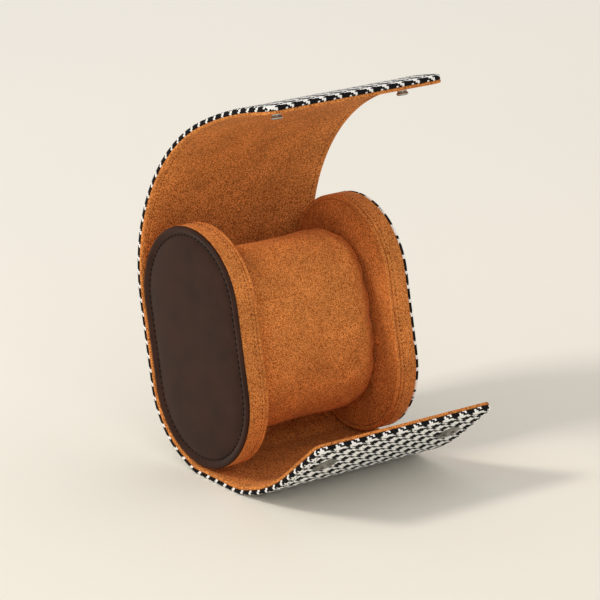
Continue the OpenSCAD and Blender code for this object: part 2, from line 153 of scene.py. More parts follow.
YAW, PITCH = 0.63855, 0.31272
FOCAL_PX, PICTURE_PX, SENSOR_MM = 3557.7, 600, 36
FAR, ASIDE, ABOVE = 1271.7, 6.584, 9.971  # from the middle of the caps, in millimetres
sine, cosine = math.sin(PITCH), math.cos(PITCH)
right = Vector((math.cos(YAW), -math.sin(YAW), 0))
up = Vector((math.sin(YAW) * sine, math.cos(YAW) * sine, cosine))
ahead = Vector((math.sin(YAW) * cosine, math.cos(YAW) * cosine, -sine))
camera = placed("camera", bpy.data.cameras.new("camera"))
eye = Vector((0, ROLL_Y, ROLL_Z)) - ahead * FAR + right * ASIDE + up * ABOVE
camera.location = eye / MM
camera.rotation_euler = ahead.to_track_quat("-Z", "Y").to_euler()
camera.data.sensor_width = SENSOR_MM
camera.data.lens = FOCAL_PX * SENSOR_MM / PICTURE_PX
bpy.context.scene.camera = camera
print("camera stands at", [round(c, 3) for c in camera.location])
print("lens in mm:", round(camera.data.lens, 1))

# %% [markdown]
# ## Trees of nodes
#
# A material is a tree of nodes: places and noise go in, and a surface comes out. One small
# function adds any node with its settings and links and gives one of its outputs, so that
# each material below reads as a list of what it is made of.

# %% Helpers for trees of nodes
def linear(hex_colour):
    """An sRGB hex colour as the linear colour that a node takes."""
    out = []
    for i in (1, 3, 5):
        c = int(hex_colour[i : i + 2], 16) / 255
        out.append(c / 12.92 if c <= 0.04045 else ((c + 0.055) / 1.055) ** 2.4)
    return (*out, 1.0)


def add(tree, kind, inputs=(), output=0, **settings):
    """Adds a node with its settings and links, and gives one of its outputs.

    Inputs are values or other nodes' outputs: in order, or by name or number in a dict.
    """
    made = tree.nodes.new(kind)
    for name, value in settings.items():
        setattr(made, name, value)
    for socket, value in inputs.items() if isinstance(inputs, dict) else enumerate(inputs):
        if isinstance(value, bpy.types.NodeSocket):
            tree.links.new(value, made.inputs[socket])
        else:
            made.inputs[socket].default_value = value
    return made.outputs[output] if len(made.outputs) else made


def new_material(name):
    """An empty material with the tree to build in."""
    material = bpy.data.materials.new(name)
    material.use_nodes = True
    material.node_tree.nodes.clear()
    return material, material.node_tree


print("hex #804020 is linear", [round(c, 3) for c in linear("#804020")])

# %% [markdown]
# ## Floor and light
#
# The pale room gives two thirds of the light. One soft lamp close by on the left throws the
# shadow to the right, where it spreads as it goes, and a broad one at the front opens up the
# inside. Such near lamps would leave the far floor dark, so their falloff is set to constant.
# The floor is a wide sheet of matte paper, far larger than the view, and a little paler far
# off. It has no gloss, so that the eye reads it as a plain ground and nothing else.

# %% Floor
def new_mesh(name, vertices, faces, material=None, smooth=True):
    """A mesh object from its points and faces."""
    mesh = bpy.data.meshes.new(name)
    mesh.from_pydata([tuple(v) for v in vertices], [], faces)
    mesh.update()
    if material:
        mesh.materials.append(material)
    for polygon in mesh.polygons:
        polygon.use_smooth = smooth
    return placed(name, mesh)


FLOOR_HALF, PALE_FROM = 6, 0.7

paper, tree = new_material("matte_background_paper")
where = add(tree, "ShaderNodeTexCoord", output="Object")
far = add(tree, "ShaderNodeSeparateXYZ", (where,), "Y")
share = add(tree, "ShaderNodeMapRange", (far, 0.0, PALE_FROM))
shades = {0: share, 6: linear("#F0ECE2"), 7: linear("#FCF9F3")}
colour = add(tree, "ShaderNodeMix", shades, 2, data_type="RGBA")
finish = {"Base Color": colour, "Roughness": 0.95, "Specular IOR Level": 0.0}
add(tree, "ShaderNodeOutputMaterial", (add(tree, "ShaderNodeBsdfPrincipled", finish),))
corners = [(x * FLOOR_HALF, y * FLOOR_HALF, 0) for x, y in ((-1, -1), (1, -1), (1, 1), (-1, 1))]
floor = new_mesh("floor", corners, [(0, 1, 2, 3)], paper, smooth=False)
print("floor:", 2 * FLOOR_HALF, "metres square")

# %% Light
ROOM_COLOUR, ROOM_STRENGTH = "#FBF9F6", 0.71

world = bpy.data.worlds.new("studio")
bpy.context.scene.world = world
world.use_nodes = True
background = world.node_tree.nodes["Background"]
background.inputs["Color"].default_value = linear(ROOM_COLOUR)
background.inputs["Strength"].default_value = ROOM_STRENGTH


def lamp(name, place, target, size, watts, colour):
    """A square area lamp that looks at a target, all in metres, with no falloff."""
    made = placed(name, bpy.data.lights.new(name, "AREA"))
    made.location = place
    made.rotation_euler = (Vector(target) - Vector(place)).to_track_quat("-Z", "Y").to_euler()
    made.data.size = size
    made.data.energy = watts
    made.data.color = linear(colour)[:3]
    made.data.use_nodes = True
    tree = made.data.node_tree
    even = add(tree, "ShaderNodeLightFalloff", {"Strength": 1.0}, "Constant")
    tree.links.new(even, tree.nodes["Emission"].inputs["Strength"])


lamp("key", (-0.52, 0.14, 0.53), (0, 0, 0.04), 0.17, 4.1, "#FFF8EE")
lamp("front", (-0.55, -1.1, 0.5), (0, 0, 0.06), 0.9, 1.5, "#FFFCF7")
bpy.context.scene.view_settings.view_transform = "Standard"

# %% [markdown]
# ## Suede
#
# Suede is the sanded flesh side of a hide: a short nap of loose fibres, with no gloss at
# all. The eye reads it from a fine, strong speckle, where fibres lie this way or that, from
# soft clouds where a hand has brushed it, and from a faint pale rim where the nap is seen
# edge on. The speckle is about half a millimetre on the flat sheets and a little finer where
# suede is stretched over a form: coarser than real fibres, so that it shows here.

# %% Suede
TUFT_SHARE, TUFTS_PER_GRAIN = 0.35, 1.4


def in_mm(tree, coordinates):
    """UV or Object coordinates, in millimetres."""
    where = add(tree, "ShaderNodeTexCoord", output=coordinates)
    return add(tree, "ShaderNodeVectorMath", {0: where, "Scale": MM}, operation="SCALE")


def suede(name, coordinates, grains_per_mm, dark, middle, pale):
    """Suede on UV or Object coordinates, from three hex colours."""
    material, tree = new_material(name)
    mm = in_mm(tree, coordinates)
    specks = {"Vector": mm, "Scale": grains_per_mm, "Detail": 1.0, "Roughness": 0.8}
    speck = add(tree, "ShaderNodeTexNoise", specks)
    tufts = {"Vector": mm, "Scale": TUFTS_PER_GRAIN * grains_per_mm}
    tuft = add(tree, "ShaderNodeTexVoronoi", tufts, "Color")
    strokes = {"Vector": mm, "Scale": 0.42, "Detail": 3.0, "Roughness": 0.6}
    nap = add(tree, "ShaderNodeTexNoise", strokes)
    clouds = {"Vector": mm, "Scale": 0.07, "Detail": 2.0, "Distortion": 0.6}
    cloud = add(tree, "ShaderNodeTexNoise", clouds)
    fibres = add(tree, "ShaderNodeMix", {0: TUFT_SHARE, 2: speck, 3: tuft})
    # A range takes a value, the two ends that it had and the two that it gets
    strong = add(tree, "ShaderNodeMapRange", (fibres, 0.37, 0.61, 0.0, 1.0))
    shades = {0: strong, 6: linear(dark), 7: linear(middle)}
    speckled = add(tree, "ShaderNodeMix", shades, 2, data_type="RGBA")
    lift = add(tree, "ShaderNodeMapRange", (nap, 0.35, 0.7, 0.0, 0.25))
    shades = {0: lift, 6: speckled, 7: linear(pale)}
    napped = add(tree, "ShaderNodeMix", shades, 2, data_type="RGBA")
    brushed = add(tree, "ShaderNodeMapRange", (cloud, 0.35, 0.65, 0.86, 1.1))
    colour = {0: napped, "Scale": brushed}
    height = add(tree, "ShaderNodeMath", (speck, nap), operation="ADD")
    relief = {"Height": height, "Strength": 0.25, "Distance": 0.2 / MM}
    finish = {
        "Base Color": add(tree, "ShaderNodeVectorMath", colour, operation="SCALE"),
        "Roughness": 0.92,
        "Specular IOR Level": 0.1,
        "Sheen Weight": 0.16,
        "Sheen Roughness": 0.45,
        "Sheen Tint": linear("#E8A878"),
        "Normal": add(tree, "ShaderNodeBump", relief),
    }
    add(tree, "ShaderNodeOutputMaterial", (add(tree, "ShaderNodeBsdfPrincipled", finish),))
    return material


suede_cut = suede("tan_suede_sheet", "UV", 1.9, "#783509", "#EE984E", "#E99C58")
suede_formed = suede("tan_suede_over_form", "Object", 2.5, "#843E10", "#EA944C", "#E99C58")
print("suede:", suede_cut.name, suede_formed.name)

# %% [markdown]
# ## Houndstooth cloth
#
# Houndstooth isn't printed: it is what a two-and-two twill makes of four dark and four pale
# threads in turn, both ways. So the material weaves it. Each thread across and along has its
# colour, and a rule says which of the two lies on top at each crossing. The repeat is eight
# threads each way. The cloth is beaten up close, so its threads across are thinner than the
# ones along. The rounded back of each thread is raised, fine noise breaks the yarn up, and
# the pale wool has a soft sheen, which the black swallows. The pale wool is also painted
# darker towards the sides of each thread: painted shade where the threads meet.

# %% Houndstooth cloth
WARP_THREAD, WEFT_THREAD = 0.84, 0.64
REPEAT, TWILL = 8, 4  # threads
# How the threads stray: grains to the millimetre, detail and reach in millimetres
STRAYING = ((0.5, 2.0, 0.2), (2.0, 1.0, 0.45))


def houndstooth(name, shift):
    """Woven houndstooth on the UV map, which is the flat cloth, moved along it by a shift."""
    material, tree = new_material(name)

    def first_half(thread, count):
        """1 over the first half of every so many threads, and 0 over the rest."""
        turn = add(tree, "ShaderNodeMath", (thread, count), operation="FLOORED_MODULO")
        return add(tree, "ShaderNodeMath", (turn, count / 2), operation="LESS_THAN")

    def back_of(thread):
        """The rounded back of each thread: 1 along its middle, and 0 at its sides."""
        part = add(tree, "ShaderNodeMath", (thread,), operation="FRACT")
        centred = add(tree, "ShaderNodeMath", (part, 0.5), operation="SUBTRACT")
        square = add(tree, "ShaderNodeMath", (centred, centred), operation="MULTIPLY")
        return add(tree, "ShaderNodeMath", (square, -4.0, 1.0), operation="MULTIPLY_ADD")

    moved = mm = in_mm(tree, "UV")
    for per_mm, detail, reach in STRAYING:
        size = {"Vector": mm, "Scale": per_mm, "Detail": detail}
        stray = (add(tree, "ShaderNodeTexNoise", size, 1), (reach, reach, reach), moved)
        moved = add(tree, "ShaderNodeVectorMath", stray, operation="MULTIPLY_ADD")
    place = add(tree, "ShaderNodeSeparateXYZ", (moved,)).node.outputs
    across = add(tree, "ShaderNodeMath", (place[0], WARP_THREAD), operation="DIVIDE")
    shifted = add(tree, "ShaderNodeMath", (place[1], shift), operation="ADD")
    along = add(tree, "ShaderNodeMath", (shifted, WEFT_THREAD), operation="DIVIDE")
    warp = add(tree, "ShaderNodeMath", (across,), operation="FLOOR")
    weft = add(tree, "ShaderNodeMath", (along,), operation="FLOOR")
    crossing = add(tree, "ShaderNodeMath", (warp, weft), operation="ADD")
    warp_on_top = first_half(crossing, TWILL)
    threads = {0: warp_on_top, 2: first_half(weft, REPEAT), 3: first_half(warp, REPEAT)}
    dark = add(tree, "ShaderNodeMix", threads)
    backs = {0: warp_on_top, 2: back_of(along), 3: back_of(across)}
    height = add(tree, "ShaderNodeMix", backs)
    fluff = {"Vector": mm, "Scale": 3.2, "Detail": 3.0, "Roughness": 0.7}
    yarn = add(tree, "ShaderNodeTexNoise", fluff)
    # Pale wool: the yarn's own mottling, times painted shade that darkens it towards the sides of
    # each thread
    depth = add(tree, "ShaderNodeMath", (1.4, height), operation="SUBTRACT")
    yarn_and_painted_shade = add(tree, "ShaderNodeMath", (yarn, depth), operation="MULTIPLY")
    wool = {0: yarn_and_painted_shade, 6: linear("#FDFCFA"), 7: linear("#EBE9E3")}
    pale = add(tree, "ShaderNodeMix", wool, 2, data_type="RGBA")
    wool = {0: yarn, 6: linear("#070607"), 7: linear("#161517")}
    black = add(tree, "ShaderNodeMix", wool, 2, data_type="RGBA")
    relief = add(tree, "ShaderNodeMath", (yarn, 0.5, height), operation="MULTIPLY_ADD")
    relief = {"Height": relief, "Strength": 0.45, "Distance": 0.15 / MM}
    finish = {
        "Base Color": add(tree, "ShaderNodeMix", {0: dark, 6: pale, 7: black}, 2, data_type="RGBA"),
        "Roughness": 0.85,
        "Specular IOR Level": 0.15,
        "Sheen Weight": add(tree, "ShaderNodeMath", (dark, -0.5, 0.5), operation="MULTIPLY_ADD"),
        "Sheen Roughness": 0.5,
        "Normal": add(tree, "ShaderNodeBump", relief),
    }
    add(tree, "ShaderNodeOutputMaterial", (add(tree, "ShaderNodeBsdfPrincipled", finish),))
    return material


# The cloth was cut so that a repeat starts at the lower free edge
weave = houndstooth("woven_houndstooth_wool", -LOWER_LENGTH)
print("houndstooth repeat in mm:", round(REPEAT * WARP_THREAD, 2), round(REPEAT * WEFT_THREAD, 2))

# %% [markdown]
# ## Leather, thread, board and metals
#
# The left cap is faced with smooth, finished calf leather, nearly matte, with pores finer
# than half a millimetre and cloudy depth in its brown. Thread is waxed polyester: brown on
# suede, a darker brown on the leather and black on the cloth. The stiffener is grey board,
# which is all but hidden. Studs are polished nickel plate, and the sockets are an aged
# pewter finish.

# %% Leather
def grained(name, colours, grains, roughness, metal=0.0, depth=0.02, specular=0.5):
    """A material whose colour and roughness drift with two sizes of grain, in millimetres."""
    material, tree = new_material(name)
    mm = in_mm(tree, "Object")
    fine = add(tree, "ShaderNodeTexNoise", {"Vector": mm, "Scale": 1 / grains[0], "Detail": 4.0})
    broad = add(tree, "ShaderNodeTexNoise", {"Vector": mm, "Scale": 1 / grains[1], "Detail": 3.0})
    both = add(tree, "ShaderNodeMix", {0: 0.65, 2: fine, 3: broad})
    share = add(tree, "ShaderNodeMapRange", (both, 0.35, 0.65, 0.0, 1.0))
    shades = {0: share, 6: linear(colours[0]), 7: linear(colours[1])}
    relief = {"Height": fine, "Strength": 0.5, "Distance": depth / MM}
    finish = {
        "Base Color": add(tree, "ShaderNodeMix", shades, 2, data_type="RGBA"),
        "Metallic": metal,
        "Roughness": add(tree, "ShaderNodeMapRange", (both, 0.3, 0.7, *roughness)),
        "Specular IOR Level": specular,
        "Normal": add(tree, "ShaderNodeBump", relief),
    }
    add(tree, "ShaderNodeOutputMaterial", (add(tree, "ShaderNodeBsdfPrincipled", finish),))
    return material


# Leather: a deep brown with a soft, wide sheen, calm next to the suede
leather = grained(
    "smooth_finished_calf_leather", ("#2B1811", "#3A241B"), (0.4, 9.0), (0.34, 0.5),
    depth=0.03, specular=0.1,
)
print("leather:", leather.name)

# %% Thread, board and metals
# Threads: thin lines a shade darker than what they hold, with a dull wax shine
THREAD = {"grains": (0.2, 3.0), "roughness": (0.6, 0.7), "specular": 0.2}
thread_brown = grained("waxed_brown_thread", ("#4A2410", "#643216"), **THREAD)
thread_dark = grained("waxed_dark_brown_thread", ("#120B08", "#22150F"), **THREAD)
thread_black = grained("waxed_black_thread", ("#0C0B0C", "#1E1C1D"), **THREAD)
# Board: a dry, dull grey
board = grained("grey_binders_board", ("#7E776B", "#958D80"), (0.4, 5.0), (0.85, 0.95))
# Nickel: a small bright point on the suede; pewter: a darker, duller ring on the cloth
nickel = grained(
    "polished_nickel_plate", ("#A8A6A1", "#B8B6B1"), (0.3, 4.0), (0.14, 0.22),
    metal=1.0, depth=0.003,
)
pewter = grained(
    "aged_pewter_plate", ("#7B7973", "#9A978F"), (0.25, 2.5), (0.24, 0.42),
    metal=1.0, depth=0.01,
)
for node, metal in (("stud_rivets", nickel), ("socket_rings", pewter)):
    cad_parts[node].data.materials.clear()
    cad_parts[node].data.materials.append(metal)
print("materials:", len(bpy.data.materials))

# %% [markdown]
# ## The layers of the wrap
#
# Each layer is drawn as a flat plate with rounded corners: a grid for its two faces, and
# rings that run round its border from one face to the other. The cloth is turned over the
# edge of the board, so its border rolls over and ends against the lining. The lining is cut
# flush, with a thin rounded edge, and is pulled down along the seam.

# %% Grid of the flat plate
BORDER = 5.0
GRID_ALONG, GRID_ACROSS = 1.2, 2.6
TOP_FOLDS = [CAP_STRAIGHT + d for d in (12, 31, 50, 70, 92)]
LOWER_FOLDS = [CAP_STRAIGHT + d for d in (39.5, 52, 69, 87)]
TOP_CUTS = [(a + b) / 2 for a, b in zip(TOP_FOLDS, TOP_FOLDS[1:])]
LOWER_CUTS = [(a + b) / 2 for a, b in zip(LOWER_FOLDS, LOWER_FOLDS[1:])]


def evenly(start, end, step):
    """Numbers from start to end, about a step apart."""
    n = max(1, round((end - start) / step))
    return [start + (end - start) * i / n for i in range(n + 1)]


marks = [-c for c in reversed(TOP_CUTS)] + [0.0] + LOWER_CUTS
marks = [BORDER - TOP_LENGTH, *marks, LOWER_LENGTH - BORDER]
# The places along the wrap where the grid has a line, each cut among them
ALONG = marks[:1]
for a, b in zip(marks, marks[1:]):
    ALONG += evenly(a, b, GRID_ALONG)[1:]
ACROSS = evenly(-(HALF - BORDER), HALF - BORDER, GRID_ACROSS)
print("grid:", len(ALONG), "by", len(ACROSS))

# %% Flat plate with a border
TOP_CORNER, LOWER_CORNER, CORNER_STEPS = 5.0, 2.5, 8


def outline(inset):
    """The plate's outline, drawn in by an inset, as (x, t) points in order."""
    points = [(HALF - inset, t) for t in ALONG]

    def corner(sign_x, end, radius, first):
        length = LOWER_LENGTH if end > 0 else TOP_LENGTH
        for j in range(CORNER_STEPS + 1):
            a = math.radians(first + 90 * j / CORNER_STEPS)
            r = radius - inset
            if r > 0:
                cx, ct = sign_x * (HALF - radius), end * (length - radius)
                points.append((cx + r * math.cos(a), ct + r * math.sin(a)))
            else:
                points.append((sign_x * (HALF - inset), end * (length - inset)))

    corner(1, 1, LOWER_CORNER, 0)
    points.extend((x, LOWER_LENGTH - inset) for x in reversed(ACROSS))
    corner(-1, 1, LOWER_CORNER, 90)
    points.extend((inset - HALF, t) for t in reversed(ALONG))
    corner(-1, -1, TOP_CORNER, 180)
    points.extend((x, inset - TOP_LENGTH) for x in ACROSS)
    corner(1, -1, TOP_CORNER, 270)
    return points


def swept(rows, size, base=0, ring=False):
    """Faces between closed rows of so many points; a ring's last row joins its first."""
    faces = []
    for k in range(rows if ring else rows - 1):
        a, b = base + k * size, base + (k + 1) % rows * size
        faces += [(a + i, a + (i + 1) % size, b + (i + 1) % size, b + i) for i in range(size)]
    return faces


def flat_plate(rim):
    """Vertices (x, t, n), their places on the flat cut, and faces, from a rim profile.

    The rim is a list of (inset, n) from one face to the other. It starts and ends at BORDER.
    """
    places, cut = [], []
    run = 0.0
    for k, (inset, n) in enumerate(rim):
        if k:
            run += math.dist(rim[k], rim[k - 1])
        places += [(x, t, n) for x, t in outline(inset)]
        cut += outline(BORDER - run)
    faces = swept(len(rim), len(outline(BORDER)))
    for n in (rim[0][1], rim[-1][1]):
        base = len(places)
        grid = [(x, t) for t in ALONG for x in ACROSS]
        places += [(x, t, n) for x, t in grid]
        cut += grid
        wide = len(ACROSS)
        for i in range(len(ALONG) - 1):
            for j in range(wide - 1):
                a = base + i * wide + j
                faces.append((a, a + 1, a + wide + 1, a + wide))
    return places, cut, faces


print("points round the plate:", len(outline(0)))

# %% [markdown]
# ## The pieces of the wrap
#
# The flat plate is cut between the folds. A hand-made layer is never quite flat, so a slow
# noise moves the middle of each sheet by about a tenth of a millimetre: enough for the light
# to catch.

# %% Spans of the pieces
# For each body: where its span starts and ends along the wrap, its fold, and its parent
SPANS = {}
for flap, sign, folds, cuts, length in (
    ("top", -1, TOP_FOLDS, TOP_CUTS, TOP_LENGTH),
    ("lower", 1, LOWER_FOLDS, LOWER_CUTS, LOWER_LENGTH),
):
    ends = [0.0, *cuts, length + 1]
    for k, fold in enumerate(folds):
        low, high = sorted((sign * ends[k], sign * ends[k + 1]))
        SPANS[f"{flap}_{k + 1}"] = (low, high, sign * fold, f"{flap}_{k}" if k else "root")
print("folds at", {body: round(fold, 1) for body, (_, _, fold, _) in SPANS.items()})

# %% Rims of the layers
# As (inset, height) points; the cover's and the lining's dip along their seams
COVER_RIM = [
    (BORDER, COVER[1]), (3.4, 1.5), (3.0, 1.46), (2.7, 1.38), (2.4, 1.46), (2.0, 1.5), (1.1, 1.49),
    (0.6, 1.4), (0.28, 1.22), (0.1, 0.95), (0.03, 0.6), (0.03, 0.2), (0.12, -0.1), (0.3, -0.25),
    (0.7, -0.27), (1.2, -0.27), (1.25, 0.39), (BORDER, COVER[0]),
]
LINING_RIM = [
    (BORDER, LINING[0]), (3.4, -1.5), (3.05, -1.44), (2.75, -1.34), (2.45, -1.44), (2.1, -1.5),
    (1.0, -1.5), (0.45, -1.46), (0.18, -1.34), (0.06, -1.15), (0.04, -0.7), (0.12, -0.4),
    (0.3, -0.3), (1.5, -0.3), (BORDER, LINING[1]),
]
BOARD_RIM = [
    (BORDER, BOARD[1]), (1.6, 0.36), (1.5, 0.3), (1.5, -0.2), (1.6, -0.26), (BORDER, BOARD[0]),
]
# Each layer's plate, material and slot, and how far it drifts from flat
LAYERS = {
    "cover": (flat_plate(COVER_RIM), weave, "houndstooth", 0.1),
    "lining": (flat_plate(LINING_RIM), suede_cut, "suede", 0.14),
    "board": (flat_plate(BOARD_RIM), board, "board", 0.0),
}
print("points of each plate:", [len(plate[0]) for plate, *_ in LAYERS.values()])

# %% Cut the plate, close the pieces and bend them
# Width of the drift's waves, its seed, the still border and the lengths that it fades over
DRIFT_WIDE, DRIFT_SEED, STILL, FADE_SIDES, FADE_ENDS = 17, 7, 4, 8, 10


def wrap_piece(name, body, plate, material, slow=0.0):
    """One piece of a layer: its share of the flat plate, closed at the cuts and bent."""
    places, cut, faces = plate
    low, high, _, _ = SPANS[body]
    made = bmesh.new()
    uv = made.loops.layers.uv.new("flat")
    held = {}
    for face in faces:
        middle = sum(places[i][1] for i in face) / len(face)
        if not low < middle < high:
            continue
        for i in face:
            if i not in held:
                held[i] = made.verts.new(places[i])
        made_face = made.faces.new([held[i] for i in face])
        made_face.smooth = True
        for i, loop in zip(face, made_face.loops):
            loop[uv].uv = (cut[i][0] / MM, cut[i][1] / MM)
    bmesh.ops.remove_doubles(made, verts=made.verts, dist=1e-4)
    bmesh.ops.dissolve_degenerate(made, dist=1e-5, edges=made.edges)
    open_edges = [e for e in made.edges if e.is_boundary]
    for edge in open_edges:
        edge.smooth = False
    for made_face in bmesh.ops.holes_fill(made, edges=open_edges, sides=0)["faces"]:
        made_face.smooth = False
        for loop in made_face.loops:
            loop[uv].uv = (loop.vert.co.x / MM, loop.vert.co.y / MM)
    for vertex in made.verts:
        x, t, n = vertex.co
        from_side = (HALF - abs(x) - STILL) / FADE_SIDES
        from_end = min(LOWER_LENGTH - t, TOP_LENGTH + t) / FADE_ENDS
        fade = max(0.0, min(1.0, from_side, from_end))
        drift = noise.noise(Vector((x, t, DRIFT_SEED)) / DRIFT_WIDE) * slow * fade
        vertex.co = on_wrap(x, t, n + drift)
    bmesh.ops.recalc_face_normals(made, faces=made.faces)
    mesh = bpy.data.meshes.new(name)
    made.to_mesh(mesh)
    made.free()
    mesh.materials.append(material)
    return placed(name, mesh)


wrap = {}
for body in SPANS:
    for layer, (plate, material, slot, slow) in LAYERS.items():
        piece = wrap_piece(f"wrap_{layer}_{body}", body, plate, material, slow)
        wrap[layer, body] = piece
        flap, number = body.split("_")
        nodes = [f"{flap}_{layer}_{number}"]
        if body == "top_1":
            nodes.append(f"back_{layer}")
        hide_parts(*nodes)
print("wrap pieces:", len(wrap), "faces:", sum(len(p.data.polygons) for p in wrap.values()))

# %% [markdown]
# ## Holes for the snaps
#
# A socket is pressed through cloth and board, and a stud is riveted through the board. A
# hole could be left open in the grid, but its rim would then follow the grid's squares, so
# each is drilled with a fine cylinder.

# %% Holes for the snaps
SNAP_X, STUD_EDGE, SOCKET_EDGE = 27.0, 11.4, 15.187
STUD_T, SOCKET_T = -(TOP_LENGTH - STUD_EDGE), LOWER_LENGTH - SOCKET_EDGE
COVER_HOLE, BOARD_HOLE, HOLE_STEPS, DRILL_MM = 3.2, 4.2, 48, 8


def frame_on_wrap(x, t):
    """A place on the middle of the wrap and the direction outwards from it."""
    here, out_there = on_wrap(x, t, 0), on_wrap(x, t, 1)
    return here, (out_there - here).normalized()


def applied(piece, modifier):
    """Makes a modifier's result the piece's own mesh."""
    graph = bpy.context.evaluated_depsgraph_get()
    mesh = bpy.data.meshes.new_from_object(piece.evaluated_get(graph))
    piece.modifiers.remove(modifier)
    piece.data = mesh


def drill(piece, x, t, radius):
    """Cuts a round hole through one layer of the wrap."""
    centre, axis = frame_on_wrap(x, t)
    size = {"radius": radius / MM, "depth": DRILL_MM / MM}
    bpy.ops.mesh.primitive_cylinder_add(vertices=HOLE_STEPS, **size)
    bit = bpy.context.object
    bit.location = centre
    bit.rotation_euler = axis.to_track_quat("Z", "Y").to_euler()
    cut = piece.modifiers.new("hole", "BOOLEAN")
    cut.object, cut.operation, cut.solver = bit, "DIFFERENCE", "EXACT"
    applied(piece, cut)
    bpy.data.objects.remove(bit)


for x in (-SNAP_X, SNAP_X):
    drill(wrap["cover", "lower_4"], x, SOCKET_T, COVER_HOLE)
    drill(wrap["board", "lower_4"], x, SOCKET_T, BOARD_HOLE)
    drill(wrap["board", "top_5"], x, STUD_T, BOARD_HOLE)
print("snaps along the wrap, in mm:", round(STUD_T, 1), round(SOCKET_T, 1))

# %% Pieces baked in place
# How far a bend reaches to each side of its fold, less where the folds lie close together
REACH, CLOSE_REACH = 8.0, {"lower_1": 6.0, "lower_2": 6.0, "lower_3": 7.0}


def bend_across(piece, body):
    """Bakes a piece's transform into its mesh; the ends of its fold are worked out but not used."""
    _, _, fold, before = SPANS[body]
    reach = CLOSE_REACH.get(body, REACH) * (-1 if fold < 0 else 1)
    start, end = on_wrap(0, fold - reach, 0), on_wrap(0, fold + reach, 0)
    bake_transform(piece)


for body, (low, high, _, _) in SPANS.items():
    for layer in LAYERS:
        bend_across(wrap[layer, body], body)
print("sheets:", len(SPANS) * 2)

# %% [markdown]
# ## Snaps
#
# Studs and sockets are turned parts, so each is a profile spun round its axis. The stud's
# waist and rounded lip catch a bright line each, and the socket has a raised collar round
# its hole and a thin rolled rim.

# %% Profiles of studs and sockets
# As (radius, height) points
STUD_PROFILE = [
    (0, -0.1), (3.0, -0.1), (3.2, 0.05), (3.22, 0.2), (3.1, 0.36), (2.8, 0.44), (2.2, 0.5),
    (1.85, 0.6), (1.68, 0.85), (1.65, 1.3), (1.72, 1.6), (1.95, 1.8), (2.1, 2.05), (2.12, 2.3),
    (2.0, 2.55), (1.75, 2.72), (1.4, 2.8), (0.9, 2.8), (0.75, 2.7), (0.5, 2.62), (0, 2.6),
]
SOCKET_PROFILE = [
    (0, 0.2), (2.0, 0.2), (2.2, 0.35), (2.2, 1.9), (2.28, 2.16), (2.48, 2.3), (2.75, 2.32),
    (2.98, 2.22), (3.12, 2.02), (3.35, 1.9), (3.75, 1.88), (3.98, 1.98), (4.2, 1.96),
    (4.34, 1.82), (4.36, 1.62), (4.28, 1.46), (3.1, 1.42), (3.1, -0.2), (3.0, -0.3), (0, -0.3),
]
print("widest radii:", max(STUD_PROFILE)[0], max(SOCKET_PROFILE)[0])

# %% Turned studs and sockets
SNAP_STEPS = 40


def tidy(mesh, distance=2e-6):
    """Merges doubles and turns the faces outwards."""
    made = bmesh.new()
    made.from_mesh(mesh)
    bmesh.ops.remove_doubles(made, verts=made.verts, dist=distance)
    bmesh.ops.dissolve_degenerate(made, dist=distance / 2, edges=made.edges)
    bmesh.ops.recalc_face_normals(made, faces=made.faces)
    made.to_mesh(mesh)
    made.free()
    mesh.update()


def turned(name, profile, places, material):
    """One mesh with a profile spun at each place, round the axis given with it."""
    vertices, faces = [], []
    for centre, axis in places:
        side = axis.orthogonal().normalized()
        other = axis.cross(side)
        base = len(vertices)
        for r, h in profile:
            for k in range(SNAP_STEPS):
                a = 2 * math.pi * k / SNAP_STEPS
                spoke = side * math.cos(a) + other * math.sin(a)
                vertices.append(centre + (spoke * r + axis * h) / MM)
        faces += swept(len(profile), SNAP_STEPS, base)
    made = new_mesh(name, vertices, faces, material)
    tidy(made.data)
    return made


pair = (-SNAP_X, SNAP_X)
stud_places = [(on_wrap(x, STUD_T, LINING[0]), -frame_on_wrap(x, STUD_T)[1]) for x in pair]
socket_places = [frame_on_wrap(x, SOCKET_T) for x in pair]
studs = turned("turned_studs", STUD_PROFILE, stud_places, nickel)
sockets = turned("turned_sockets", SOCKET_PROFILE, socket_places, pewter)
for piece, node, body, slot in (
    (studs, "snap_studs", "top_5", "nickel"),
    (sockets, "snap_sockets", "lower_4", "pewter"),
):
    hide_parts(node)
    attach(piece, body)
print("snap faces:", len(studs.data.polygons), len(sockets.data.polygons))

# %% [markdown]
# ## Stitches
#
# A lock stitch shows as a row of short, slightly slanted bars with a gap between them: small
# highlights and shadows that tell the eye where two layers are held together. Rows of equal
# things are what Geometry Nodes are for: the tree takes a drawn line, spaces points
# along it, puts one small rounded bar on each and turns it along the line. The rows are laid
# out flat, and the finished bars are bent with the same function as the cloth.
#
# On the cap's face the thread is heavy and lies in a groove; on suede it is fine.

